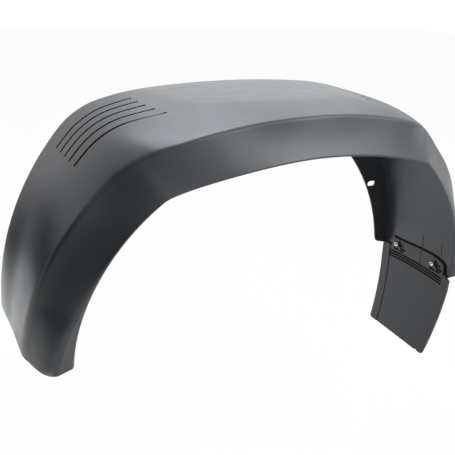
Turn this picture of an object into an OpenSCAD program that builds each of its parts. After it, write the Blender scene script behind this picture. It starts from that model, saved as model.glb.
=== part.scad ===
// Single-axle trailer mudguard with a bolted mud flap.
// Frame: X runs along the trailer, +X to the rear. The mounting flange's outer face is the plane y = 0,
// and the outer skirt faces -Y. The origin lies on that face midway between the fixing slots, +Z up.

/* [Shell] */
// Height of the crown above the front leg's lower edge
shell_h = 345.5; // [340.5:1:350.5]
// How far the rear leg's fixing tab reaches below the front leg
rear_drop = 26; // [22:1:30]
// Wall thickness of the moulding
wall_t = 3; // [2.6:0.1:3.4]
// Radius of the crown
crown_r = 1693; // [1603:10:1803]
// Radius of the tight bend at each shoulder
shoulder_r = 131.6; // [126.6:1:136.6]
// Radius of the legs
leg_r = 455.5; // [445.5:1:465.5]
// Width from the flange face to the crease, over the wheel
crease_w = 277; // [272:1:282]
// Width from the flange face to the crease, at the leg ends
crease_end_w = 168; // [164:1:174]
// Width of the return strip at the leg ends
strip_end_w = 18; // [14:1:20]

/* [Top panel] */
// Height of the raised panel on the crown
panel_h = 1.5; // [1:0.5:3]
// Width of the raised panel at its middle
panel_w = 190; // [180:1:196]
// Half length of the raised panel, along the flange
panel_half_l = 178; // [172:1:180]

/* [Shoulder slots] */
// Number of slots on each shoulder
slot_count = 5; // [3:1:5]
// Width of a slot
slot_w = 5.5; // [4:0.5:7]
// Distance between neighbouring slots
slot_pitch = 27; // [24:0.2:28]
// Distance of the first slot from the flange face
slot_first = 51; // [46:1:53]

/* [Mounting flange] */
// Radius of the wheel arch in the flange
flange_arch_r = 373; // [368:1:378]
// Distance between the two fixing slots
fix_spacing = 682; // [674:2:690]
// Height of the fixing slots above the front leg's lower edge
fix_z = 118; // [114:1:122]
// Length of a fixing slot
fix_l = 20; // [16:1:24]
// Width of a fixing slot
fix_w = 11; // [8:1:12]

/* [Mud flap] */
// How far the flap hangs below the rear leg
flap_drop = 186; // [160:1:200]
// Thickness of the flap's margins
flap_t = 4; // [3.5:0.5:5]
// How far the flap's middle lies below its margins
flap_recess = 1.5; // [1:0.5:2]
// Height of the fixing screws above the rear leg's lower edge
screw_up = 14; // [13:0.5:16]
// Distance between the two fixing screws
screw_spacing = 108; // [100:1:112]

/* [Hidden] */
$fn = 48;
black = [0.13, 0.14, 0.15];
rubber = [0.09, 0.095, 0.1];
zinc = [0.80, 0.81, 0.82];

// Tread profile from the crown outwards, as [radius, angle] of arcs that meet tangentially
crown_a = 4.91;
haunch_r = 448;
haunch_a = 10.83;
shoulder_a = 33.59;
// Arch of the skirt's free edge, in the same form, and how far its top lies below the crown
edge_drop = 62;
edge_top_r = 656;
edge_top_a = 19.3;
edge_corner_r = 19.5;
edge_corner_a = 21.2;
edge_leg_r = [328, 429];
// Width from the flange face to the free edge by depth below the edge's top, on the front and on the rear side
edge_widths = [[[0, 292], [35, 273], [160, 245], [281, 220.5]], [[0, 292], [35, 273], [160, 248], [281, 231]]];
// Wheel axis, seen from the crown
axis_drop = 408;
crown_z = shell_h - fix_z;
corner_r = 2;

function deg(rad) = rad * 180 / PI;
function smooth(t) = let (c = max(0, min(1, t))) c * c * (3 - 2 * c);
function mix(a, b, t) = a + (b - a) * t;
function unit(v) = v / norm(v);

// Smooth curve through knots [position, value], level at the first one
function slope(k, i) = i == 0 ? 0 : let (a = k[i - 1], b = k[min(i + 1, len(k) - 1)]) (b[1] - a[1]) / (b[0] - a[0]);
function curve(k, s, i = 0) =
    i == len(k) - 1 ? k[i][1] + slope(k, i) * (s - k[i][0])
    : s > k[i + 1][0] ? curve(k, s, i + 1)
    : let (d = k[i + 1][0] - k[i][0], t = max(0, (s - k[i][0]) / d))
      mix(k[i][1], k[i + 1][1], smooth(t)) + d * t * (1 - t) * ((1 - t) * slope(k, i) - t * slope(k, i + 1));

// Point [x, z, heading] at distance s along a run of tangent arcs, with the heading in degrees below +X
function along(arcs, s, x = 0, z = 0, h = 0, i = 0) =
    let (r = arcs[i][0], a = min(arcs[i][1], deg(s / r)), nx = x + r * (sin(h + a) - sin(h)),
         nz = z + r * (cos(h + a) - cos(h)))
    (a < arcs[i][1] || i == len(arcs) - 1) ? [nx, nz, h + a]
    : along(arcs, s - r * a * PI / 180, nx, nz, h + a, i + 1);
function length_of(arcs, i = 0) = i == len(arcs) ? 0 : arcs[i][0] * arcs[i][1] * PI / 180 + length_of(arcs, i + 1);
// The same arcs with a last one of radius r that ends at height z_end
function to_height(arcs, r, z_end) =
    let (p = along(arcs, length_of(arcs))) concat(arcs, [[r, acos((z_end - p[1]) / r + cos(p[2])) - p[2]]]);

tread_top = [[crown_r, crown_a], [haunch_r, haunch_a], [shoulder_r, shoulder_a]];
edge_top = [[edge_top_r, edge_top_a], [edge_corner_r, edge_corner_a]];
function end_drop(side) = shell_h + (side > 0 ? rear_drop : 0);
function tread_arcs(side) = to_height(tread_top, leg_r, -end_drop(side));
function edge_arcs(side) = to_height(edge_top, edge_leg_r[side > 0 ? 1 : 0], edge_drop - end_drop(side));
tread_l = [length_of(tread_arcs(-1)), length_of(tread_arcs(1))];
edge_l = [length_of(edge_arcs(-1)), length_of(edge_arcs(1))];
function side_of(s) = s < 0 ? 0 : 1;

// Where the shoulder and the skirt's corner sit on their runs, so that stations pair them
shoulder_s = length_of(tread_top) - shoulder_r * shoulder_a * PI / 360;
corner_s = length_of(edge_top) - edge_corner_r * edge_corner_a * PI / 360;
function edge_station(s) =
    let (a = abs(s), k = side_of(s))
    a < shoulder_s ? a * corner_s / shoulder_s
    : corner_s + (a - shoulder_s) * (edge_l[k] - corner_s) / (tread_l[k] - shoulder_s);

// Tread point, its outward normal and the free edge's point at station s, all as [x, y, z]
function mirror_x(p, s) = [s < 0 ? -p[0] : p[0], p[1], p[2]];
function tread_base(s) = let (p = along(tread_arcs(s < 0 ? -1 : 1), abs(s))) mirror_x([p[0], 0, crown_z + p[1]], s);
function tread_normal(s) = let (p = along(tread_arcs(s < 0 ? -1 : 1), abs(s))) mirror_x([sin(p[2]), 0, cos(p[2])], s);
function edge_point(s) =
    let (p = along(edge_arcs(s < 0 ? -1 : 1), edge_station(s)))
    mirror_x([p[0], -curve(edge_widths[side_of(s)], -p[1]), crown_z - edge_drop + p[1]], s);

// Width of the crease at station s, and how far the tread has fallen there from its line at the flange
function crease_at(s) = curve(concat([[0, crease_w], [100, crease_w - 12]],
    s < 0 ? [[200, crease_w - 17.5], [260, crease_w - 38], [320, crease_w - 55], [400, crease_w - 61.5],
        [500, crease_end_w + 27], [620, crease_end_w]]
    : [[200, crease_w - 21], [260, crease_w - 45], [320, crease_w - 54], [400, crease_w - 60],
        [500, crease_end_w + 34], [620, crease_end_w + 33]]), abs(s));
function crease_fall(s) = s < 0 ? curve([[0, 5.8], [200, 18.5], [300, 23.3], [450, 8.4], [600, 3.2]], -s)
    : curve([[0, 5.8], [200, 18.5], [300, 22], [380, 12.5], [450, 6.5], [560, 4.2], [600, 4], [660, 4]], s);
function fall(s, w) =
    crease_fall(s) * mix(pow(max(0, w) / crease_at(s), 3.2), smooth(w / (s < 0 ? 90 : 38)), smooth((abs(s) - 400) / 140));

// Raised panel: its width, and its height at station s and width w
function panel_at(s) = panel_w - 45 * pow(min(1, abs(s) / (panel_half_l - 20)), 1.5);
function panel_rise(s, w) =
    (panel_h * smooth(w / 40) + 0.7 * fall(s, w))
    * min(smooth((panel_at(s) - w) / 24), smooth((panel_half_l - 20 * w / 140 - abs(s)) / 20));

// Stations lean like the panel's ends near them
function skewed(s, w) = s - sign(s) * 20 * min(1.3, w / 140) * smooth(1 - abs(abs(s) - panel_half_l) / 90);
function tread_point(s, w) =
    let (q = skewed(s, w)) tread_base(q) + [0, -w, 0] + tread_normal(q) * (panel_rise(q, w) - fall(q, w));

// Flange arch point opposite station s
function flange_point(s) =
    let (p = tread_base(s), k = side_of(s), z0 = crown_z - axis_drop,
         e = tread_base((s < 0 ? -1 : 1) * tread_l[k]),
         a = atan2(p[2] - z0, abs(p[0])), a1 = atan2(e[2] - z0, abs(e[0])),
         a2 = asin((e[2] + 8 - z0) / flange_arch_r),
         b = a + (a2 - a1) * pow(abs(s) / tread_l[k], 8))
    [(s < 0 ? -1 : 1) * flange_arch_r * cos(b), 0, z0 + flange_arch_r * sin(b)];

// Return strip along the free edge, widest at the front leg's end, and the skirt from the crease to the strip
function strip_at(s) = s > 0 ? 2.5
    : curve([[0, strip_end_w], [28, 14], [75, 8], [110, 3], [200, 2.5], [900, 2.5]], tread_l[0] - abs(s));
function lip_point(s) = edge_point(s) + (tread_normal(s) * 2.6 + [0, -5.5, 0]) * mix(0.25, 1, strip_at(s) / strip_end_w);
function strip_point(s) = lip_point(s) + strip_at(s) * (0.93 * tread_normal(s) + [0, -0.36, 0]);
function bulge_at(s, t) =
    mix(-12 * t * (1 - t), (s < 0 ? 36 : 16) * pow(t, 1.37) * pow(1 - t, 0.44),
        s < 0 ? smooth((-s - 380) / 230) : smooth((s - 170) / 360));
function skirt_point(s, t) =
    let (c = tread_point(s, crease_at(s)), d = strip_point(s), v = d - c, y = [0, -1, 0],
         n = unit(y - v * (v * y) / (v * v)))
    c + v * t + n * bulge_at(s, t);

// Stations along the moulding. The rear leg's last facet is the flap's flat seat.
function spread(a, b, n) = [for (i = [1 : n]) mix(a, b, i / n)];
s1 = crown_r * crown_a * PI / 180;
s2 = s1 + haunch_r * haunch_a * PI / 180;
s3 = length_of(tread_top);
screw_s = tread_l[1] - screw_up;
seat_s = screw_s - 18;
half_stations = concat(spread(0, s1, 6), spread(s1, s2, 4), spread(s2, s3, 9), spread(s3, seat_s, 11));
stations = concat([-tread_l[0]], [for (i = [len(half_stations) - 2 : -1 : 0]) -half_stations[i]], [0],
    half_stations, [tread_l[1]]);

// One row of points across the moulding at station s, from the flange arch to the free edge
skirt_steps = [0.08, 0.2, 0.36, 0.52, 0.68, 0.82, 0.93, 1];
function level(p, s) = abs(s) < tread_l[side_of(s)] - 0.01 ? p : [p[0], p[1], crown_z - end_drop(s)];
function row(s) =
    let (f = flange_point(s), b = tread_base(s), n = tread_normal(s), p = panel_at(s), c = crease_at(s))
    concat(
        [f, mix(f, b - n * corner_r, 0.5)],
        [for (a = [0, 30, 60]) b + n * (corner_r * (sin(a) - 1) + panel_rise(s, 0) * sin(a)) + [0, -corner_r * (1 - cos(a)), 0]],
        [for (w = [corner_r, 19, 38, (p - 24) * 2 / 3, p - 24, p - 14, p - 5, p, (p + c) / 2, c - 5, c])
            level(tread_point(s, w), s)],
        [for (t = skirt_steps) level(skirt_point(s, t), s)],
        [level(lip_point(s), s), edge_point(s)]);

// A closed skin between the grid of outer points and the same grid moved in by the wall
function flat_end(v, i, last) = (i == 0 || i == last) ? unit([v[0], v[1], 0]) : unit(v);
function grid_normal(g, i, j) =
    let (n = len(g) - 1, m = len(g[0]) - 1)
    flat_end(cross(g[min(i + 1, n)][j] - g[max(i - 1, 0)][j], g[i][min(j + 1, m)] - g[i][max(j - 1, 0)]), i, n);
module skin(g, t) {
    n = len(g);
    m = len(g[0]);
    outer = [for (i = [0 : n - 1]) for (j = [0 : m - 1]) g[i][j]];
    inner = [for (i = [0 : n - 1]) for (j = [0 : m - 1]) g[i][j] + t * grid_normal(g, i, j)];
    function at(i, j) = i * m + j;
    o = n * m;
    quads = concat(
        [for (i = [0 : n - 2]) for (j = [0 : m - 2]) [at(i, j), at(i, j + 1), at(i + 1, j + 1), at(i + 1, j)]],
        [for (i = [0 : n - 2]) for (j = [0 : m - 2])
            [o + at(i, j), o + at(i + 1, j), o + at(i + 1, j + 1), o + at(i, j + 1)]],
        [for (i = [0 : n - 2]) [at(i, 0), at(i + 1, 0), o + at(i + 1, 0), o + at(i, 0)]],
        [for (i = [0 : n - 2]) [at(i, m - 1), o + at(i, m - 1), o + at(i + 1, m - 1), at(i + 1, m - 1)]],
        [for (j = [0 : m - 2]) [at(0, j), o + at(0, j), o + at(0, j + 1), at(0, j + 1)]],
        [for (j = [0 : m - 2]) [at(n - 1, j), at(n - 1, j + 1), o + at(n - 1, j + 1), o + at(n - 1, j)]]);
    polyhedron(concat(outer, inner), [for (q = quads) for (k = [[0, 2, 1], [0, 3, 2]]) [for (c = k) q[c]]]);
}

// A band that follows the tread from station a to b, between two offsets from it
module band(a, b, lo, hi, n) {
    steps = [for (i = [0 : n]) mix(a, b, i / n)];
    function at(s, d) = let (p = tread_base(s) + tread_normal(s) * d) [p[0], p[2]];
    polygon(concat([for (s = steps) at(s, hi)], [for (i = [n : -1 : 0]) at(steps[i], lo)]));
}

// The slots draw together down the shoulder: sideways lean of each one past the first
slot_fan = 0.032;
module shoulder_slot(side, k) {
    w = slot_first + k * slot_pitch;
    lean = slot_fan * k;
    multmatrix([[1, 0, 0, 0], [side * lean, 1, 0, -lean * 190], [0, 0, 1, 0], [0, 0, 0, 1]])
        translate([0, -w + slot_w / 2, 0])
            rotate([90, 0, 0])
                linear_extrude(slot_w)
                    band(side * (191 - 14 * pow(k / 4, 2)), side * 331, -22, 9, 16);
}

module fixing_slot(x) {
    translate([x, 1, 0])
        rotate([90, 0, 0])
            linear_extrude(wall_t + 2) {
                square([fix_l - fix_w, fix_w], center = true);
                for (e = [-1, 1])
                    translate([e * (fix_l - fix_w) / 2, 0])
                        circle(d = fix_w);
            }
}

// The rear leg's skirt side ends level with the front leg, and slants down from there to the fixing tab
module rear_trim() {
    translate([250, 0, -fix_z])
        rotate([90, 0, 90])
            linear_extrude(200)
                polygon([[-200, -rear_drop - 20], [-200, -rear_drop], [-236, 0], [-300, 0], [-300, -rear_drop - 20]]);
}

// Puts its children on the rear leg's outer face at the screws' height: +X along the width, +Y down, +Z out
screw_w = [101.5 - screw_spacing / 2, 101.5 + screw_spacing / 2];
module on_rear_leg(w) {
    n = tread_normal(screw_s);
    a = tread_base(seat_s);
    b = tread_base(tread_l[1]);
    y = unit(b - a);
    z = [-y[2], 0, y[0]];
    f = fall(screw_s, 100);
    o = mix(b, a, screw_up / (screw_up + 18)) - n * f + [0, -w, 0];
    multmatrix([[0, y[0], z[0], o[0]], [-1, y[1], z[1], o[1]], [0, y[2], z[2], o[2]], [0, 0, 0, 1]])
        children();
}

module mudguard_shell() {
    color(black)
        difference() {
            skin([for (s = stations) row(s)], wall_t);
            for (side = [-1, 1])
                for (k = [0 : slot_count - 1])
                    shoulder_slot(side, k);
            for (e = [-1, 1])
                fixing_slot(e * fix_spacing / 2);
            for (w = screw_w)
                on_rear_leg(w)
                    translate([0, 0, -10])
                        cylinder(h = 20, d = 6.6);
            rear_trim();
        }
}

// Mud flap, drawn in the frame of on_rear_leg(0): it hangs on the wheel side of the leg
flap_z = -wall_t - 0.15;
flap_end = screw_up + flap_drop;
flap_bend_y = 60;
flap_bend_r = 650;
function flap_path(y, d) =
    let (a = max(0, y - flap_bend_y) / flap_bend_r * 180 / PI)
    [min(y, flap_bend_y) + (flap_bend_r + d) * sin(a), flap_z + d + (flap_bend_r + d) * (cos(a) - 1)];
// A sheet over widths a to b and heights y0 to y1, between two depths from the flap's outer face
module flap_sheet(a, b, y0, y1, lo, hi) {
    steps = concat(y0 < flap_bend_y ? [y0] : [], [for (i = [0 : 8]) let (y = mix(max(y0, flap_bend_y), y1, i / 8))
        if (y1 > flap_bend_y) y], y1 > flap_bend_y ? [] : [y1]);
    translate([a, 0, 0])
        rotate([90, 0, 90])
            linear_extrude(b - a)
                polygon(concat([for (y = steps) flap_path(y, hi)],
                    [for (i = [len(steps) - 1 : -1 : 0]) flap_path(steps[i], lo)]));
}
// Outline of the flap seen from the wheel side: a tongue inside the leg and the plate below it
function flap_right(y) = 207 - 28 * pow(max(0, y - 30) / 168, 1.1);
tab_y = screw_up + 1.5;
module flap_outline() {
    polygon([
        [34, 6], [34, -11], [37, -12.2], [76, -13.8], [115, -15.6], [153, -15.2], [170, -13], [184, -9], [191, -3],
        [193, 2], [193, tab_y], [207, tab_y + 7],
        for (y = [40 : 20 : 180]) [flap_right(y), y],
        [flap_right(flap_end - 4), flap_end - 4], [flap_right(flap_end) - 4, flap_end],
        [163, flap_end], [162, flap_end - 2], [158, flap_end - 2], [157, flap_end],
        [12, flap_end - 3.5], [8, flap_end - 7.5], [8, 8]]);
}
module l_groove(w) {
    for (g = [[13.6, -9.7, 1.8, 13.5], [14, 2.4, 14, 1.6], [21.6, -6.5, 2, 2]])
        translate([w + g[0], g[1], -10])
            cube([g[2], g[3], 10 - wall_t - 0.15 - (flap_t - flap_recess) + 1.4]);
}
module mud_flap() {
    color(rubber)
        on_rear_leg(0)
            difference() {
                intersection() {
                    difference() {
                        flap_sheet(-10, 240, -30, flap_end + 20, -flap_t, 0);
                        flap_sheet(30, 188, -40, flap_end + 30, -flap_t - 5, flap_recess - flap_t);
                    }
                    translate([0, 0, -60])
                        linear_extrude(80)
                            flap_outline();
                }
                for (y = [24, 28.5, 33])
                    flap_sheet(30, 188, y, y + 2, -flap_t, flap_recess - flap_t + 1.4);
                for (w = screw_w) {
                    l_groove(w);
                    translate([w, 0, -20])
                        cylinder(h = 30, d = 6.6);
                }
            }
}

// Fasteners, drawn on the outer face of the leg with +Z out of it
head_d = 10.5;
head_h = 3.3;
flap_face = flap_z - (flap_t - flap_recess);
screw_l = 16;
module fixing_screw(w) {
    color(zinc)
        on_rear_leg(w)
            translate([0, 0, flap_face - 0.1])
                difference() {
                    union() {
                        cylinder(h = screw_l, d = 6);
                        intersection() {
                            translate([0, 0, -head_h])
                                cylinder(h = head_h, d = head_d);
                            translate([0, 0, 2.9])
                                sphere(r = 6.2);
                        }
                    }
                    translate([0, 0, -head_h - 1])
                        cylinder(h = 3, d = 4.6, $fn = 6);
                }
}
module fixing_washer(w) {
    color(zinc)
        on_rear_leg(w)
            translate([0, 0, 0.1])
                difference() {
                    cylinder(h = 1.6, d = 12);
                    translate([0, 0, -1])
                        cylinder(h = 4, d = 6.4);
                }
}
module fixing_nut(w) {
    color(zinc)
        on_rear_leg(w)
            translate([0, 0, 1.8])
                difference() {
                    cylinder(h = 5, d = 10 / cos(30), $fn = 6);
                    translate([0, 0, -1])
                        cylinder(h = 7, d = 6.2);
                }
}

mudguard_shell();
mud_flap();
fixing_screw(screw_w[0]);  // flap_screw_flange_side
fixing_screw(screw_w[1]);  // flap_screw_skirt_side
fixing_washer(screw_w[0]);  // flap_washer_flange_side
fixing_washer(screw_w[1]);  // flap_washer_skirt_side
fixing_nut(screw_w[0]);  // flap_nut_flange_side
fixing_nut(screw_w[1]);  // flap_nut_skirt_side
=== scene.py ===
import math

import bmesh
import bpy
import numpy as np
from mathutils import Euler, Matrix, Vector


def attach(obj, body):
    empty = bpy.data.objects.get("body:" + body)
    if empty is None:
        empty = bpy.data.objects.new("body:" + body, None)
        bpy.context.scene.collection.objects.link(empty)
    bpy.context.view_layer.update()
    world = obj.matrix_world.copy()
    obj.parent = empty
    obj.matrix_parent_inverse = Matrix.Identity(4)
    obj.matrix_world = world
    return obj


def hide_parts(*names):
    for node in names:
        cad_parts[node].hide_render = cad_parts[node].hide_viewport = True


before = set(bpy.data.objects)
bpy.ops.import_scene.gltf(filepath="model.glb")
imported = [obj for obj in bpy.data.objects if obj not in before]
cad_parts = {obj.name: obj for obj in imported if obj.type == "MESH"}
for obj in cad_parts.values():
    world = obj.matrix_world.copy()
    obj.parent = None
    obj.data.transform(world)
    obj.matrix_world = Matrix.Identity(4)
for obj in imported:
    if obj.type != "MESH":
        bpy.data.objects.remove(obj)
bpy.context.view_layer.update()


# Camera: it stands in front of the wheel and outside the trailer, a little above the crown.
# The picture is a crop, so the lens axis lies to the right of its middle.
camera_lens_mm = 49.82
camera_place = (-0.4984, -0.9800, 0.3996)
camera_turn_deg = (68.05, -2.63, -29.63)

camera_data = bpy.data.cameras.new("camera")
camera_data.lens = camera_lens_mm
camera_data.sensor_width = 36.0
camera_data.shift_x = -0.0781
camera_data.shift_y = -0.001
camera = bpy.data.objects.new("camera", camera_data)
camera.location = camera_place
camera.rotation_euler = Euler([math.radians(a) for a in camera_turn_deg])
bpy.context.collection.objects.link(camera)
bpy.context.scene.camera = camera


# Moulded shell: one piece of black polyethylene with a satin skin, about 3 mm thick.
# It is lofted along the wheel arch: an arched flange inboard, a tread over the tyre and an outer skirt.
crown_z = 227.5
rear_drop = 26.0
leg_end_drop = 345.5
wall = 3.0
tread_top = [(1693.0, 4.91), (448.0, 10.83), (131.6, 33.59)]
leg_radius = 455.5
edge_drop = 62.0
edge_top = [(656.0, 18.99), (38.0, 21.51)]
edge_leg_radius = {-1: 328.0, 1: 429.0}
edge_widths = {
    -1: [(0, 292), (35, 273), (160, 245), (281, 220.5)],
    1: [(0, 292), (35, 273), (160, 248), (281, 231)],
}
flange_arch_radius = 373.0
axis_drop = 408.0
panel_height = 1.5
panel_width = 190.0
panel_half_length = 178.0
fold_half = 14.0
slot_width = 5.5
slot_first, slot_pitch, slot_count = 51.0, 27.0, 5
slot_widths = [slot_first + slot_pitch * k for k in range(slot_count)]
slot_tops = [191.0 - 14.0 * (k / 4) ** 2 for k in range(slot_count)]
slot_bottom = 331.0
slot_pinch = [1.0, 1.0, 0.9, 0.75, 0.4]
slot_fan = 0.032
fan_from_x, fan_to_x = 190.0, 305.0
screw_hole_radius = 3.3
strip_end_width = 18.0
seat_length = 32.0
screw_up = 14.0


def smooth(t):
    t = np.clip(t, 0.0, 1.0)
    return t * t * (3 - 2 * t)


def mix(a, b, t):
    return a + (b - a) * t


def curve(knots, at):
    """Smooth curve through (position, value) knots, level at the first one."""
    place, value = np.array(knots, float).T
    slope = np.zeros(len(value))
    slope[1:-1] = (value[2:] - value[:-2]) / (place[2:] - place[:-2])
    slope[-1] = (value[-1] - value[-2]) / (place[-1] - place[-2])
    i = np.clip(np.searchsorted(place, at) - 1, 0, len(place) - 2)
    step = place[i + 1] - place[i]
    t = np.clip((at - place[i]) / step, 0, 1)
    inside = mix(value[i], value[i + 1], smooth(t)) + step * t * (1 - t) * ((1 - t) * slope[i] - t * slope[i + 1])
    return inside + np.maximum(at - place[-1], 0) * slope[-1]


def arcs_length(arcs):
    return sum(radius * math.radians(angle) for radius, angle in arcs)


def along_arcs(arcs, distance):
    """x, z and heading below +x at distances along arcs that meet tangentially, the first one level."""
    x, z, heading = (np.zeros_like(distance) for _ in range(3))
    px, pz, start_heading, start = 0.0, 0.0, 0.0, 0.0
    for radius, angle in arcs:
        here = distance >= start - 1e-9
        turn = start_heading + (distance[here] - start) / radius
        x[here] = px + radius * (np.sin(turn) - math.sin(start_heading))
        z[here] = pz + radius * (np.cos(turn) - math.cos(start_heading))
        heading[here] = turn
        end_heading = start_heading + math.radians(angle)
        px += radius * (math.sin(end_heading) - math.sin(start_heading))
        pz += radius * (math.cos(end_heading) - math.cos(start_heading))
        start += radius * math.radians(angle)
        start_heading = end_heading
    return x, z, heading


def down_to(arcs, radius, z_end):
    """The same arcs with one more that ends at height z_end."""
    _, z, heading = along_arcs(arcs, np.array([arcs_length(arcs)]))
    turn = math.acos((z_end - z[0]) / radius + math.cos(heading[0])) - heading[0]
    return arcs + [(radius, math.degrees(turn))]


end_drop = {-1: leg_end_drop, 1: leg_end_drop + rear_drop}
tread_arcs = {side: down_to(tread_top, leg_radius, -end_drop[side]) for side in (-1, 1)}
edge_arcs = {side: down_to(edge_top, edge_leg_radius[side], edge_drop - end_drop[side]) for side in (-1, 1)}
tread_length = {side: arcs_length(tread_arcs[side]) for side in (-1, 1)}
edge_length = {side: arcs_length(edge_arcs[side]) for side in (-1, 1)}
shoulder_at = arcs_length(tread_top) - tread_top[2][0] * math.radians(tread_top[2][1]) / 2
corner_at = arcs_length(edge_top) - edge_top[1][0] * math.radians(edge_top[1][1]) / 2


def tread_line(side, s):
    """Points of the tread at the flange and its outward normals. The rear leg ends in a flat seat for the flap."""
    x, z, heading = along_arcs(tread_arcs[side], s)
    if side > 0:
        ends = np.array([tread_length[1] - seat_length, tread_length[1]])
        seat_x, seat_z, seat_heading = along_arcs(tread_arcs[1], ends)
        t = np.clip((s - ends[0]) / seat_length, 0, 1)
        flat = s > ends[0]
        x = np.where(flat, mix(seat_x[0], seat_x[1], t), x)
        z = np.where(flat, mix(seat_z[0], seat_z[1], t), z)
        heading = np.where(flat, seat_heading.mean(), heading)
    line = np.stack([side * x, 0 * x, crown_z + z], -1)
    normal = np.stack([side * np.sin(heading), 0 * x, np.cos(heading)], -1)
    return line, normal


def crease_width(side, s):
    front = [(200, 259.5), (260, 239), (320, 222), (400, 215.5), (500, 195), (620, 168)]
    rear = [(200, 256), (260, 232), (320, 223), (400, 217), (500, 202), (620, 201)]
    return curve([(0, 277), (100, 265)] + (front if side < 0 else rear), s)


def crease_fall(side, s):
    front = [(0, 5.8), (200, 18.5), (300, 23.3), (450, 8.4), (600, 3.2)]
    rear = [(0, 5.8), (200, 18.5), (300, 22), (380, 12.5), (450, 6.5), (560, 4.2), (600, 4), (660, 4)]
    return curve(front if side < 0 else rear, s)


def tread_surface(side, s, w):
    """Points of the tread at stations s and widths w from the flange face, both (n, m) arrays."""
    line, normal = tread_line(side, s)
    across = smooth((s - 400) / 140)
    leg_ramp = smooth(w / (90.0 if side < 0 else 38.0))
    steepness = mix(3.2, 4.8 if side < 0 else 3.6, smooth((s - 180) / 90))
    fall = crease_fall(side, s) * mix((np.maximum(w, 0) / crease_width(side, s)) ** steepness, leg_ramp, across)
    # The panel on the crown is nearly flat, and folds softly down to the crease past its edge
    width_here = panel_width - 28 * np.minimum(1, s / (panel_half_length - 20)) ** 1.5
    past = w - width_here
    folded = np.where(past > fold_half, past, np.maximum(past + fold_half, 0) ** 2 / (4 * fold_half))
    fold = folded / (crease_width(side, s) - width_here)
    lengthwise = smooth((panel_half_length + fold_half - 20 * w / 140 - s) / 50)
    level = panel_height * smooth(w / 40) - (crease_fall(side, s) + panel_height) * fold
    height = mix(-fall, level, lengthwise)
    return line + w[..., None] * np.array([0, -1, 0]) + normal * height[..., None]


def free_edge(side, s):
    """Free edge of the skirt, the lip just inside it and the crease of the return strip, at stations s."""
    mapped = np.where(
        s < shoulder_at,
        s * corner_at / shoulder_at,
        corner_at + (s - shoulder_at) * (edge_length[side] - corner_at) / (tread_length[side] - shoulder_at),
    )
    x, z, _ = along_arcs(edge_arcs[side], mapped)
    edge = np.stack([side * x, -curve(edge_widths[side], -z), crown_z - edge_drop + z], -1)
    normal = tread_line(side, s)[1]
    if side < 0:
        narrowing = [(0, strip_end_width), (28, 14), (75, 8), (110, 3), (200, 2.5), (900, 2.5)]
        width = curve(narrowing, tread_length[-1] - s)
    else:
        width = np.full_like(s, 2.5)
    width = width[..., None]
    lip = edge + (normal * 2.6 + np.array([0, -5.5, 0])) * mix(0.25, 1.0, width / strip_end_width)
    crease = lip + width * (0.93 * normal + np.array([0, -0.36, 0]))
    return edge, lip, crease


def skirt_surface(side, s, t):
    """Points of the skirt at stations s, from the tread's crease (t = 0) to the return strip (t = 1)."""
    top = tread_surface(side, s, crease_width(side, s))
    low = free_edge(side, s)[2]
    span = low - top
    side_way = np.array([0.0, -1.0, 0.0])
    outward = side_way - span * ((span @ side_way) / (span * span).sum(-1))[..., None]
    outward /= np.linalg.norm(outward, axis=-1, keepdims=True)
    full = 36.0 if side < 0 else 16.0
    onset = smooth((s - 380) / 230) if side < 0 else smooth((s - 170) / 360)
    bulge = mix(-12 * t * (1 - t), full * t**1.37 * np.maximum(1 - t, 0) ** 0.44, onset)
    return top + span * t[..., None] + outward * bulge[..., None], np.linalg.norm(span, axis=-1)


def rounded(a, corner, b, count):
    """Points of a soft bend from a to b around a corner, without a and b themselves."""
    steps = [(k + 1) / (count + 1) for k in range(count)]
    return [a * (1 - t) ** 2 + corner * 2 * t * (1 - t) + b * t * t for t in steps]


# Widths of the tread's columns: close together over the slots, whose edges they follow
slot_columns = [2.0, 6.0, 12.0, 19.0, 27.0, 36.0, 44.0]
for middle in slot_widths:
    slot_columns += [middle + f * slot_width / 2 for f in (-1, -0.5, 0, 0.5, 1)]
    slot_columns += [middle + d for d in (6.5, 11.0, 16.0, 20.5)]
slot_columns = np.array(sorted(slot_columns))

# Stations: evenly spaced, with the slots' rounded ends between them
end_steps = [0.0, 0.2, 0.7, 1.5, slot_width / 2]
slot_stations = [top + d for top in slot_tops for d in end_steps] + [slot_bottom - d for d in end_steps]


def stations_of(side):
    even = np.linspace(0, tread_length[side] - (seat_length if side > 0 else 0), 168)
    clear = [s for s in even if min(abs(s - q) for q in slot_stations) > 1.2]
    seat = list(np.linspace(tread_length[1] - seat_length, tread_length[1], 9)[1:]) if side > 0 else []
    return np.array(sorted(set(clear + slot_stations + seat)))


def slot_half_width(k, s):
    inside = np.minimum(s - slot_tops[k], slot_bottom - s)
    depth = np.clip(inside, 0, slot_width / 2)
    half = np.sqrt(np.maximum((slot_width / 2) ** 2 - (slot_width / 2 - depth) ** 2, 0))
    # The outer slots are pinched over the first few centimetres below their round upper ends
    below = s - slot_tops[k]
    half = half * mix(1.0, mix(slot_pinch[k], 1.0, smooth((below - 10) / 75)), smooth((below - 4) / 4))
    return np.where(inside < -1e-6, slot_width / 2, half)


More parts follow.
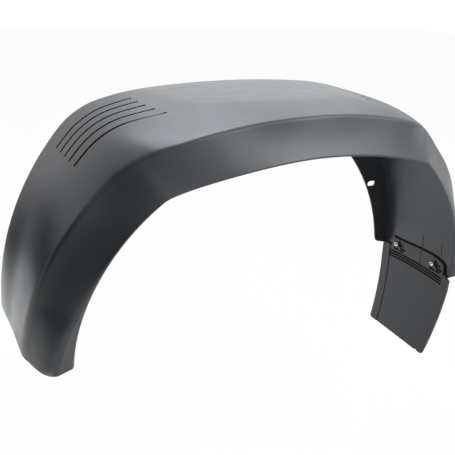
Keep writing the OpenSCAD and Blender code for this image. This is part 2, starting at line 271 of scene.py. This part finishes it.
def shell_rows(side):
    """Grid of the outer surface on one side of the crown, from the flange's arch to the free edge."""
    s = stations_of(side)
    line, normal = tread_line(side, s)
    arch_z = crown_z - axis_drop
    end_line = tread_line(side, np.array([tread_length[side]]))[0][0]
    angle = np.arctan2(line[:, 2] - arch_z, np.abs(line[:, 0]))
    end_angle = math.atan2(end_line[2] - arch_z, abs(end_line[0]))
    low_angle = math.asin((end_line[2] + 8 - arch_z) / flange_arch_radius)
    angle = angle + (low_angle - end_angle) * (s / tread_length[side]) ** 8
    arch = np.stack(
        [side * flange_arch_radius * np.cos(angle), 0 * s, arch_z + flange_arch_radius * np.sin(angle)], -1
    )
    corner = 2.0
    corner_centre = line - normal * corner
    columns = [mix(arch, corner_centre, t) for t in (0.0, 0.25, 0.5, 0.75)]
    for a in np.radians([0, 18, 36, 54, 72]):
        columns.append(corner_centre + normal * corner * math.sin(a) + np.array([0, -corner * (1 - math.cos(a)), 0]))
    crease = crease_width(side, s)
    bend = mix(5.0, 12.0 if side < 0 else 7.0, smooth((s - 380) / 200))
    squeeze = np.minimum(1.0, (crease - bend) / 200.0)
    widths = []
    for w in slot_columns:
        shifted = np.full_like(s, w)
        for k, middle in enumerate(slot_widths):
            if abs(w - middle) <= slot_width / 2 + 1e-6:
                shifted = middle + (w - middle) / (slot_width / 2) * slot_half_width(k, s)
        # The slots fan out: each leans a little more than the one before it
        lean = slot_fan * (min(max(w, slot_widths[0]), slot_widths[-1]) - slot_first) / slot_pitch
        shifted = shifted - lean * (np.clip(np.abs(line[:, 0]), fan_from_x, fan_to_x) - fan_from_x)
        widths.append(2 + (shifted - 2) * squeeze)
    last = widths[-1]
    widths += [mix(last, crease - bend, (k + 1) / 22) for k in range(22)]
    columns += [tread_surface(side, s, w) for w in widths]
    first_t = bend / skirt_surface(side, s, 0 * s)[1]
    columns += rounded(columns[-1], tread_surface(side, s, crease), skirt_surface(side, s, first_t)[0], 7)
    for k in range(26):
        columns.append(skirt_surface(side, s, mix(first_t, 0.985, 1 - (1 - k / 25) ** 1.3))[0])
    edge, lip, strip = free_edge(side, s)
    columns += rounded(columns[-1], strip, mix(strip, lip, 0.15), 3)
    columns += [mix(strip, lip, t) for t in (0.15, 0.4, 0.7)]
    columns += rounded(mix(strip, lip, 0.8), lip, mix(lip, edge, 0.5), 4) + [mix(lip, edge, 0.5), edge]
    grid = np.stack(columns, 1)
    grid[-1, 9:, 2] = crown_z - end_drop[side]
    if side > 0:
        # The rear leg's lower edge slants up to the skirt, so the columns there are drawn together
        lift_from = s[-1] - 70.0
        for j in range(grid.shape[1]):
            column = grid[:, j].copy()
            end_z = crown_z - leg_end_drop - rear_drop * np.clip(1 + (column[:, 1] + 200) / 36, 0, 1)
            over = column[:, 2] - end_z
            if over[-1] > -1e-6:
                continue
            i = int(np.argmax(over < 0))
            s_end = mix(s[i - 1], s[i], over[i - 1] / (over[i - 1] - over[i]))
            moved = s + np.maximum(s - lift_from, 0) * ((s_end - lift_from) / (s[-1] - lift_from) - 1)
            grid[:, j] = np.stack([np.interp(moved, s, column[:, a]) for a in range(3)], -1)
    return s, grid


def plain_mesh(name, points_mm, faces):
    mesh = bpy.data.meshes.new(name)
    mesh.from_pydata([tuple(p / 1000) for p in points_mm], [], faces)
    mesh.validate()
    mesh.update()
    piece = bpy.data.objects.new(name, mesh)
    bpy.context.collection.objects.link(piece)
    return piece


def settle(piece, sharp_deg=32):
    """Turns the piece's modifiers into its mesh, smooth but for edges sharper than sharp_deg."""
    graph = bpy.context.evaluated_depsgraph_get()
    mesh = bpy.data.meshes.new_from_object(piece.evaluated_get(graph))
    piece.modifiers.clear()
    old = piece.data
    piece.data = mesh
    bpy.data.meshes.remove(old)
    mesh.polygons.foreach_set("use_smooth", [True] * len(mesh.polygons))
    mesh.set_sharp_from_angle(angle=math.radians(sharp_deg))
    return piece


def prism(name, outline, way, depth):
    """Solid of a closed outline of (n, 3) points, pushed along a direction by a depth."""
    base = np.array(outline, float)
    top = base + np.array(way, float) * depth
    n = len(base)
    faces = [list(range(n))[::-1], [n + k for k in range(n)]]
    faces += [[k, (k + 1) % n, n + (k + 1) % n, n + k] for k in range(n)]
    piece = plain_mesh(name, np.vstack([base, top]), faces)
    mesh = bmesh.new()
    mesh.from_mesh(piece.data)
    bmesh.ops.recalc_face_normals(mesh, faces=mesh.faces)
    mesh.to_mesh(piece.data)
    mesh.free()
    return piece


def cut(piece, cutters):
    """Cuts the solids out of the piece, and removes them."""
    for cutter in cutters:
        tool = piece.modifiers.new("cut", "BOOLEAN")
        tool.solver = "EXACT"
        tool.object = cutter
    settle(piece)
    for cutter in cutters:
        bpy.data.objects.remove(cutter)


front_s, front_grid = shell_rows(-1)
rear_s, rear_grid = shell_rows(1)
shell_s = np.concatenate([-front_s[:0:-1], rear_s])
shell_grid = np.concatenate([front_grid[:0:-1], rear_grid])
rows, across_count = shell_grid.shape[:2]
first_tread = 9
open_faces = set()
for k, middle in enumerate(slot_widths):
    lowest = first_tread + int(np.argmin(np.abs(slot_columns - (middle - slot_width / 2))))
    for i in range(rows - 1):
        near, far = sorted((abs(shell_s[i]), abs(shell_s[i + 1])))
        if near >= slot_tops[k] - 1e-6 and far <= slot_bottom + 1e-6:
            open_faces |= {(i, lowest + j) for j in range(4)}
shell_faces = [
    (i * across_count + j, (i + 1) * across_count + j, (i + 1) * across_count + j + 1, i * across_count + j + 1)
    for i in range(rows - 1)
    for j in range(across_count - 1)
    if (i, j) not in open_faces
]
shell = plain_mesh("moulded_shell", shell_grid.reshape(-1, 3), shell_faces)
tidy = bmesh.new()
tidy.from_mesh(shell.data)
bmesh.ops.remove_doubles(tidy, verts=tidy.verts, dist=1e-6)
bmesh.ops.delete(tidy, geom=[v for v in tidy.verts if not v.link_faces], context="VERTS")
if sum(f.normal.z * f.calc_area() for f in tidy.faces) < 0:
    bmesh.ops.reverse_faces(tidy, faces=tidy.faces)
tidy.to_mesh(shell.data)
tidy.free()
thicken = shell.modifiers.new("wall", "SOLIDIFY")
thicken.thickness = wall / 1000
thicken.offset = -1
thicken.use_even_offset = True
# Two material slots, so that the edges which the wall's thickness makes can be told apart
shell.data.materials.append(None)
shell.data.materials.append(None)
thicken.material_offset_rim = 1

# Openings that are cut after the wall has its thickness: the flange's two slots and the flap's two screw holes
fixing_spacing = 682.0
fixing_length = 20.0
fixing_width = 11.0
screw_widths = (47.5, 155.5)
cutters = []
for end in (-1, 1):
    outline = []
    for half, start in ((1, -90), (-1, 90)):
        centre_x = end * fixing_spacing / 2 + half * (fixing_length - fixing_width) / 2
        for a in np.radians(start + np.arange(0, 181, 15)):
            outline.append([centre_x + fixing_width / 2 * math.cos(a), 2.0, fixing_width / 2 * math.sin(a)])
    cutters.append(prism("fixing_slot", outline, (0, -1, 0), 8.0))
    # The flange's lower corner at the wheel arch is rounded off
    grid_end = (front_grid if end < 0 else rear_grid)[-1]
    tip = np.array([grid_end[0][0], 2.0, grid_end[0][2]])
    inwards = np.array([grid_end[3][0], 2.0, grid_end[3][2]]) - tip
    inwards /= np.linalg.norm(inwards)
    upwards = np.array([end * 0.03, 0.0, 1.0])
    round_off = [tip + upwards * 8] + rounded(tip + upwards * 8, tip, tip + inwards * 8, 6) + [tip + inwards * 8]
    round_off += [tip + inwards * 8 - upwards * 3, tip - (inwards + upwards) * 3, tip + upwards * 8 - inwards * 3]
    cutters.append(prism("flange_corner", round_off, (0, -1, 0), 6.5))
seat_line, seat_normal = tread_line(1, np.array([tread_length[1] - screw_up]))
seat_out = seat_normal[0]
seat_down = np.array([seat_out[2], 0.0, -seat_out[0]])
seat_centre = seat_line[0] - seat_out * 4.0
for w in screw_widths:
    outline = [
        seat_centre
        + np.array([0, -w + screw_hole_radius * math.cos(a), 0])
        + seat_down * screw_hole_radius * math.sin(a)
        - seat_out * 10
        for a in np.radians(np.arange(0, 360, 12))
    ]
    cutters.append(prism("screw_hole", outline, seat_out, 20.0))
# Two fine lines that the mould leaves inside the rear leg, above the flap's tongue
leg_lines = {122.0: 1.0, 174.5: 0.6}


def line_back(up):
    """How far the leg's wall leans inwards at a height above the flat seat."""
    return max(0.0, up - 18.0) ** 2 / (2 * leg_radius)


for w, depth in leg_lines.items():
    outline = []
    for up, face_out in [(23, -2.0), (35, -2.0), (48, -2.0), (48, depth), (35, depth), (23, depth)]:
        out = face_out - wall - line_back(up)
        outline.append(seat_centre + np.array([0, -w - 0.9, 0]) - seat_down * up + seat_out * out)
    cutters.append(prism("leg_line", outline, (0, 1, 0), 1.8))
cut(shell, cutters)


class Wire:
    """An output of a node in one material. Arithmetic on it adds Math nodes."""

    def __init__(self, tree, socket=None):
        self.tree = tree
        self.socket = socket

    def node(self, kind, settings=None, values=None, output=0):
        node = self.tree.nodes.new(kind)
        for name, value in (settings or {}).items():
            if name == "stops":
                while len(node.color_ramp.elements) < len(value):
                    node.color_ramp.elements.new(0.5)
                for element, (place, shade) in zip(node.color_ramp.elements, value):
                    element.position = place
                    element.color = (shade, shade, shade, 1)
            else:
                setattr(node, name, value)
        for name, value in (values or {}).items():
            if isinstance(value, Wire):
                self.tree.links.new(value.socket, node.inputs[name])
            else:
                node.inputs[name].default_value = value
        return Wire(self.tree, node.outputs[output] if node.outputs else None)

    def math(self, operation, a, b=0.0):
        return self.node("ShaderNodeMath", {"operation": operation}, {0: a, 1: b})

    def seen(self):
        """1 for the rays by which the camera sees a background, straight on, mirrored or through glass."""
        names = ("Camera", "Glossy", "Transmission")
        kinds = [self.node("ShaderNodeLightPath", output="Is %s Ray" % name) for name in names]
        return self.math("MAXIMUM", kinds[0], self.math("MAXIMUM", kinds[1], kinds[2]))

    def __add__(self, other):
        return self.math("ADD", self, other)

    __radd__ = __add__

    def __sub__(self, other):
        return self.math("SUBTRACT", self, other)

    def __rsub__(self, other):
        return self.math("SUBTRACT", other, self)

    def __mul__(self, other):
        return self.math("MULTIPLY", self, other)

    __rmul__ = __mul__


def new_material(name):
    """A material with nothing but its output, and a wire to draw from."""
    material = bpy.data.materials.new(name)
    material.use_nodes = True
    material.node_tree.nodes.clear()
    return material, Wire(material.node_tree)


def finish_material(wire, shader):
    wire.node("ShaderNodeOutputMaterial", None, {"Surface": shader})


def moulded_plastic(name, colour, roughness, grain):
    """Black moulded plastic: a fine grain from the mould, slow cloudiness, and a little dust that lightens it."""
    material, wire = new_material(name)
    place = wire.node("ShaderNodeTexCoord", output="Object")
    cloud = wire.node("ShaderNodeTexNoise", None, {"Vector": place, "Scale": 7.0, "Detail": 3.0})
    mottle = wire.node("ShaderNodeTexNoise", None, {"Vector": place, "Scale": 60.0, "Detail": 4.0})
    skin = wire.node("ShaderNodeTexNoise", None, {"Vector": place, "Scale": 900.0, "Detail": 2.0})
    dust = wire.node("ShaderNodeTexVoronoi", None, {"Vector": place, "Scale": 46.0})
    speck = wire.node("ShaderNodeValToRGB", {"stops": [(0.0, 1.0), (0.012, 0.0)]}, {"Fac": dust})
    darker = (*[c * 0.82 for c in colour], 1)
    lighter = (*[c * 1.22 for c in colour], 1)
    pale = wire.node(
        "ShaderNodeMix", {"data_type": "RGBA"}, {"Factor": (cloud - 0.5) * 0.9 + 0.5, "A": darker, "B": lighter}, 2
    )
    dusty = wire.node(
        "ShaderNodeMix", {"data_type": "RGBA"}, {"Factor": speck * 0.25, "A": pale, "B": (0.3, 0.3, 0.3, 1)}, 2
    )
    bump = wire.node("ShaderNodeBump", None, {"Strength": grain, "Distance": 0.0004, "Height": skin + mottle * 0.6})
    shader = wire.node(
        "ShaderNodeBsdfPrincipled",
        None,
        {"Base Color": dusty, "Roughness": roughness + (mottle - 0.5) * 0.10 + (cloud - 0.5) * 0.08, "Normal": bump},
    )
    finish_material(wire, shader)
    return material


# Painted shade: a near-black matt colour on the walls of slots and the bottoms of narrow grooves, which stands for
# the shade that lies in them
painted_shade_black, wire = new_material("painted_shade_black")
place = wire.node("ShaderNodeTexCoord", output="Object")
roughness_noise = wire.node("ShaderNodeTexNoise", None, {"Vector": place, "Scale": 220.0, "Detail": 3.0})
dull = wire.node(
    "ShaderNodeBsdfPrincipled",
    None,
    {"Base Color": (0.004, 0.004, 0.005, 1), "Roughness": roughness_noise * 0.3 + 0.5, "Specular IOR Level": 0.15},
)
finish_material(wire, dull)
shell_plastic = moulded_plastic("shell_plastic", (0.041, 0.044, 0.048), 0.38, 0.10)
shell.data.materials[0] = shell_plastic
shell.data.materials[1] = painted_shade_black
# Painted shade: the slot walls and the faces of the two fine leg lines take the near-black colour, which stands for
# the shade inside them
for face in shell.data.polygons:
    x, y, z = np.array(face.center) * 1000
    on_leg = np.array([x, 0, z]) - seat_centre * (1, 0, 1)
    up = -(on_leg @ seat_down)
    in_line = 22 < up < 49 and -wall - line_back(up) + 0.1 < on_leg @ seat_out < -wall - line_back(up) + 1.5
    beside_line = min(abs(-y - w) for w in leg_lines) < 1.6
    in_slot = face.material_index == 1 and 45 < -y < 170 and z > 60
    face.material_index = 1 if in_slot or (in_line and beside_line) else 0
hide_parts("mudguard_shell")
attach(shell, "root")


# Mud flap: a moulded plastic sheet with thicker margins, three cross grooves and a tongue inside the rear leg.
# It is drawn flat, width by height from the screws, then bent to the gentle curve in which it hangs.
flap_thick = 4.0
flap_recess = 1.5
flap_end = 200.0
flap_bend_from = 60.0
flap_bend_radius = 650.0
flap_gap = 0.15


def flap_right(y):
    return 207 - 28 * (max(0.0, y - 30) / 168) ** 1.1


tongue_edge = [
    (34, 6), (34, -13), (38, -16.5), (68, -17.8), (95, -19.5), (122, -21.3), (145, -21.6), (161, -21), (178, -18.5),
    (187, -15.5), (192, -11), (194.5, -5), (195, 8),
]
flap_outline = tongue_edge + [(198, 12.5), (207, 16.5)]
flap_outline += [(flap_right(y), y) for y in range(40, 200, 20)]
flap_outline += [
    (flap_right(flap_end - 4), flap_end - 4), (flap_right(flap_end) - 4, flap_end), (163, flap_end),
    (162, flap_end - 2), (158, flap_end - 2), (157, flap_end), (12, flap_end - 3.5), (8, flap_end - 7.5), (8, 8),
]
flap = prism("mud_flap_sheet", [(w, y, 0.0) for w, y in flap_outline], (0, 0, -1), flap_thick)


def block(name, w0, w1, y0, y1, z0, z1):
    return prism(name, [(w0, y0, z0), (w1, y0, z0), (w1, y1, z0), (w0, y1, z0)], (0, 0, 1), z1 - z0)


recess_z = flap_recess - flap_thick
flap_cutters = [block("recess", 30, 188, -40, flap_end + 30, -9, recess_z)]
for y in (14.0, 19.9, 25.8):
    arch = [(30 + 158 * k / 16, y + 3.6 * (2 * k / 16 - 1) ** 2 + 1.2 * k / 16) for k in range(17)]
    outline = arch + [(w, v + 4.0) for w, v in arch[::-1]]
    flap_cutters.append(prism("groove", [(w, v, -9.0) for w, v in outline], (0, 0, 1), 9 + recess_z + 1.5))
inner_edge = [(w + 4.2 * (110 - w) / 80, v + 3.8) for w, v in tongue_edge[2:]]
outline = [(w + 0.8 * (w - 110) / 110, v - 0.8) for w, v in tongue_edge[2:]] + inner_edge[::-1]
flap_cutters.append(prism("seam", [(w, v, -9.0) for w, v in outline], (0, 0, 1), 9 + recess_z + 1.6))
flap_cutters.append(block("line", 121.2, 122.6, -21, 15, -9, recess_z + 0.9))
# Plain recesses beside each screw: their left, right, upper and lower sides, from the screw's centre
marks = [
    (7.0, 13, -11, 3), (13, 18, -7, 3), (19.6, 23.4, -4.6, 0),
    (14, 31, 3, 7), (-5, 9, 8.4, 13), (12, 24.5, 8.2, 13),
]
for w in screw_widths:
    for w0, w1, y0, y1 in marks:
        flap_cutters.append(block("mark", w + w0, w + w1, y0, y1, -9, recess_z + 1.5))
    hole = [
        (w + screw_hole_radius * math.cos(a), screw_hole_radius * math.sin(a), -9.0)
        for a in np.radians(np.arange(0, 360, 12))
    ]
    flap_cutters.append(prism("hole", hole, (0, 0, 1), 14.0))
cut(flap, flap_cutters)


def paint_shade(piece, test):
    """Gives the faces whose centres pass the test the near-black colour of painted shade."""
    piece.data.materials.append(painted_shade_black)
    black = len(piece.data.materials) - 1
    for face in piece.data.polygons:
        if test(np.array(face.center) * 1000):
            face.material_index = black


def in_flap_mark(centre):
    w, y, z = centre
    if not (28 < w < 198 and -24 < y < 36):
        return False
    return recess_z + 0.15 < z < -0.2 and (y < 8 or 31 < w < 187)


soften = flap.modifiers.new("edges", "BEVEL")
soften.width = 0.0004
soften.segments = 2
soften.limit_method = "ANGLE"
soften.angle_limit = math.radians(40)
# The bevels meet the plate at about 22 degrees and stay sharp there, or they would tint its wide flat faces
settle(flap, 15)
flap.data.materials.clear()
flap.data.materials.append(moulded_plastic("flap_plastic", (0.037, 0.038, 0.041), 0.50, 0.16))
# Painted shade: the faces inside the flap's grooves, marks, seam, line and screw holes take the near-black colour,
# which stands for the shade in them
paint_shade(flap, in_flap_mark)


def bend_flap(piece):
    """Moves the flat sheet onto the rear leg's seat and curves its lower part forwards."""
    mesh = bmesh.new()
    mesh.from_mesh(piece.data)
    for y in np.arange(flap_bend_from, flap_end, 5.0) / 1000:
        whole = list(mesh.verts) + list(mesh.edges) + list(mesh.faces)
        bmesh.ops.bisect_plane(mesh, geom=whole, plane_co=(0, y, 0), plane_no=(0, 1, 0), dist=1e-7)
    bmesh.ops.triangulate(mesh, faces=[f for f in mesh.faces if len(f.verts) > 4])
    for v in mesh.verts:
        w, y, z = v.co * 1000
        a = max(0.0, y - flap_bend_from) / flap_bend_radius
        down = min(y, flap_bend_from) + (flap_bend_radius + z) * math.sin(a)
        out = -wall - flap_gap + z + (flap_bend_radius + z) * (math.cos(a) - 1)
        point = seat_centre + seat_down * down + seat_out * out + np.array([0, -w, 0])
        v.co = Vector(point / 1000)
    bmesh.ops.recalc_face_normals(mesh, faces=mesh.faces)
    mesh.to_mesh(piece.data)
    mesh.free()


bend_flap(flap)
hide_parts("mud_flap")
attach(flap, "root")


# Flap fixings: two M6 button-head screws of bright zinc-plated steel, each with a washer and a nut outside the leg.
# One of each is turned as rings about its axis, and Geometry Nodes set it at both places on the seat.
ring_steps = 48
ring_angles = np.arange(ring_steps) * 2 * math.pi / ring_steps


def circle_ring(radius, z):
    return [(radius * math.cos(a), radius * math.sin(a), z) for a in ring_angles]


def hex_radius(across_flats, a):
    turn = a % (math.pi / 3) - math.pi / 6
    return across_flats / 2 / math.cos(turn)


def hex_ring(across_flats, z, chamfer=0.0):
    ring = []
    for a in ring_angles:
        r = hex_radius(across_flats, a)
        ring.append((r * math.cos(a), r * math.sin(a), z + chamfer * (r - across_flats / 2)))
    return ring


def from_rings(name, rings, looped):
    """Closed solid through rings of points along the screw's axis, at the first screw's place."""
    points = []
    for x, y, z in [p for ring in rings for p in ring]:
        points.append(seat_centre + np.array([0, -screw_widths[0] - x, 0]) + seat_down * y + seat_out * z)
    n = ring_steps
    faces = []
    pairs = [(i, i + 1) for i in range(len(rings) - 1)] + ([(len(rings) - 1, 0)] if looped else [])
    for i, j in pairs:
        faces += [(i * n + k, i * n + (k + 1) % n, j * n + (k + 1) % n, j * n + k) for k in range(n)]
    if not looped:
        faces += [tuple(range(n))[::-1], tuple((len(rings) - 1) * n + k for k in range(n))]
    piece = plain_mesh(name, np.array(points), faces)
    mesh = bmesh.new()
    mesh.from_mesh(piece.data)
    bmesh.ops.recalc_face_normals(mesh, faces=mesh.faces)
    mesh.to_mesh(piece.data)
    mesh.free()
    return piece


def at_both_screws(piece, material):
    """Sets the piece at each screw with Geometry Nodes and leaves one plain mesh."""
    tree = bpy.data.node_groups.new("at_screws", "GeometryNodeTree")
    tree.interface.new_socket("Geometry", in_out="INPUT", socket_type="NodeSocketGeometry")
    tree.interface.new_socket("Geometry", in_out="OUTPUT", socket_type="NodeSocketGeometry")
    count = tree.interface.new_socket("Screw count", in_out="INPUT", socket_type="NodeSocketInt")
    spacing = tree.interface.new_socket("Screw spacing", in_out="INPUT", socket_type="NodeSocketVector")
    nodes, link = tree.nodes, tree.links.new
    start, end = nodes.new("NodeGroupInput"), nodes.new("NodeGroupOutput")
    places = nodes.new("GeometryNodeMeshLine")
    copies = nodes.new("GeometryNodeInstanceOnPoints")
    real = nodes.new("GeometryNodeRealizeInstances")
    coat = nodes.new("GeometryNodeSetMaterial")
    coat.inputs["Material"].default_value = material
    link(start.outputs["Screw count"], places.inputs["Count"])
    link(start.outputs["Screw spacing"], places.inputs["Offset"])
    link(places.outputs["Mesh"], copies.inputs["Points"])
    link(start.outputs["Geometry"], copies.inputs["Instance"])
    link(copies.outputs["Instances"], real.inputs["Geometry"])
    link(real.outputs["Geometry"], coat.inputs["Geometry"])
    link(coat.outputs["Geometry"], end.inputs["Geometry"])
    modifier = piece.modifiers.new("at_screws", "NODES")
    modifier.node_group = tree
    modifier[count.identifier] = 2
    modifier[spacing.identifier] = (0.0, -(screw_widths[1] - screw_widths[0]) / 1000, 0.0)
    return settle(piece, 30)


def zinc_plate(name):
    """Bright zinc plate: pale metal with fine turning marks and a slightly cloudy roughness."""
    material, wire = new_material(name)
    place = wire.node("ShaderNodeTexCoord", output="Object")
    cloud = wire.node("ShaderNodeTexNoise", None, {"Vector": place, "Scale": 400.0, "Detail": 3.0})
    fine = wire.node("ShaderNodeTexNoise", None, {"Vector": place, "Scale": 2500.0, "Detail": 2.0})
    bump = wire.node("ShaderNodeBump", None, {"Strength": 0.08, "Distance": 0.0001, "Height": fine})
    colour = wire.node(
        "ShaderNodeMix",
        {"data_type": "RGBA"},
        {"Factor": cloud, "A": (0.74, 0.75, 0.77, 1), "B": (0.86, 0.86, 0.86, 1)},
        2,
    )
    shader = wire.node(
        "ShaderNodeBsdfPrincipled",
        None,
        {"Base Color": colour, "Metallic": 1.0, "Roughness": 0.24 + cloud * 0.12, "Normal": bump},
    )
    finish_material(wire, shader)
    return material


zinc = zinc_plate("zinc_plate")
face_z = -wall - flap_gap - (flap_thick - flap_recess) - 0.1
head = [hex_ring(4.4, face_z - 0.9), hex_ring(4.4, face_z - 3.15), circle_ring(2.75, face_z - 3.25)]
for t in np.linspace(0.12, 1.0, 9):
    head.append(circle_ring(2.75 + 2.5 * t, face_z - 0.5 - 2.75 * math.cos(math.radians(88 * t)) ** 0.75))
head += [circle_ring(5.25, face_z), circle_ring(3.0, face_z)]
thread_z = face_z + 6.0
head += [circle_ring(3.0, thread_z)]
while thread_z < face_z + 15.2:
    head += [circle_ring(2.55, thread_z + 0.5), circle_ring(3.0, thread_z + 0.9), circle_ring(3.0, thread_z + 1.0)]
    thread_z += 1.0
head += [circle_ring(2.5, face_z + 16.0)]
screws = at_both_screws(from_rings("flap_screws", head, False), zinc)


def in_socket(centre):
    from_seat = centre - seat_centre
    across = [math.hypot(-from_seat[1] - w, from_seat @ seat_down) for w in screw_widths]
    return min(across) < 2.45 and face_z - 3.1 < from_seat @ seat_out < face_z


# Painted shade: the hex socket in each screw head takes the near-black colour, which stands for the shade inside it
paint_shade(screws, in_socket)
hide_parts("flap_screw_flange_side", "flap_screw_skirt_side")

washer_low, washer_high = 0.1, 1.7
washer = [
    circle_ring(3.2, washer_low), circle_ring(5.9, washer_low), circle_ring(6.0, washer_low + 0.1),
    circle_ring(6.0, washer_high - 0.2), circle_ring(5.8, washer_high), circle_ring(3.2, washer_high),
]
washers = at_both_screws(from_rings("flap_washers", washer, True), zinc)
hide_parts("flap_washer_flange_side", "flap_washer_skirt_side")

nut_low, nut_high = 1.8, 6.8
nut = [
    circle_ring(3.1, nut_low + 0.4), circle_ring(3.5, nut_low), circle_ring(4.8, nut_low),
    hex_ring(10.0, nut_low + 0.1, 0.55), hex_ring(10.0, nut_high - 0.1, -0.55),
    circle_ring(4.8, nut_high), circle_ring(3.5, nut_high), circle_ring(3.1, nut_high - 0.4),
]
nuts = at_both_screws(from_rings("flap_nuts", nut, True), zinc)
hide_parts("flap_nut_flange_side", "flap_nut_skirt_side")
for fixing in (screws, washers, nuts):
    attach(fixing, "root")


# Studio: a pale floor well below the part, which seems to hang as in a catalogue picture, and white all round.
# Softboxes stand behind and above the crown and to the right in front, two small ones lie low on the left,
# and dark flags keep the left side dim.
floor = plain_mesh(
    "studio_floor",
    np.array([[-9000, -9000, -520], [9000, -9000, -520], [9000, 9000, -520], [-9000, 9000, -520]], float),
    [(0, 1, 2, 3)],
)
floor_material, wire = new_material("studio_floor")
matt = wire.node("ShaderNodeBsdfDiffuse", None, {"Color": (0.86, 0.86, 0.86, 1)})
glow = wire.node("ShaderNodeEmission", None, {"Color": (1, 1, 1, 1), "Strength": 1.0})
finish_material(wire, wire.node("ShaderNodeMixShader", None, {0: wire.seen() * 0.97, 1: matt, 2: glow}))
floor.data.materials.append(floor_material)

flag = plain_mesh(
    "dark_flag",
    np.array(
        [
            [-1900, -2300, -500], [-2300, 500, -500], [-2300, 500, 1300], [-1900, -2300, 1500],  # in front, left
            [-2300, 1100, -500], [-780, 1300, -500], [-900, 1300, 250], [-2300, 1100, 250],  # behind, low
        ],
        float,
    ),
    [(0, 1, 2, 3), (4, 5, 6, 7)],
)
flag_material, wire = new_material("dark_flag")
finish_material(wire, wire.node("ShaderNodeBsdfDiffuse", None, {"Color": (0.02, 0.02, 0.02, 1)}))
flag.data.materials.append(flag_material)
flag.visible_camera = False

world = bpy.data.worlds.new("studio")
world.use_nodes = True
world.node_tree.nodes.clear()
bpy.context.scene.world = world
air = Wire(world.node_tree)
ambient = 0.05
sky_strength = air.seen() * (1 - ambient) + ambient
sky = air.node("ShaderNodeBackground", None, {"Color": (1, 1, 1, 1), "Strength": sky_strength})
air.node("ShaderNodeOutputWorld", None, {"Surface": sky})


def soft_light(name, azimuth_deg, height_deg, size, power, colour, distance=2.6):
    """Square softbox that faces the part, at an azimuth from the skirt's side towards the rear."""
    azimuth, height = math.radians(azimuth_deg), math.radians(height_deg)
    away = Vector((math.cos(height) * math.sin(azimuth), -math.cos(height) * math.cos(azimuth), math.sin(height)))
    data = bpy.data.lights.new(name, "AREA")
    data.shape = "SQUARE"
    data.size = size
    data.energy = power
    data.color = colour
    light = bpy.data.objects.new(name, data)
    light.location = away * distance
    light.visible_camera = False
    light.rotation_euler = (-away).to_track_quat("-Z", "Y").to_euler()
    bpy.context.collection.objects.link(light)


cool, mild = (0.87, 0.94, 1.0), (0.92, 0.97, 1.0)
soft_light("back_top_softbox", 180, 65, 1.7, 51, cool)
soft_light("back_right_softbox", 150, 30, 1.8, 9, cool)
soft_light("back_left_softbox", 240, 34, 1.4, 3, cool)
soft_light("back_low_softbox", 209, -29, 0.4, 1.6, mild, 0.92)
soft_light("front_left_low_softbox", 292, -34, 0.24, 0.6, mild, 0.84)
soft_light("front_right_softbox", 30, 40, 1.3, 33, mild)
soft_light("front_right_low_softbox", 30, 15, 1.3, 15, mild)
soft_light("right_softbox", 60, 40, 1.3, 13, mild)

bpy.context.scene.view_settings.view_transform = "Standard"
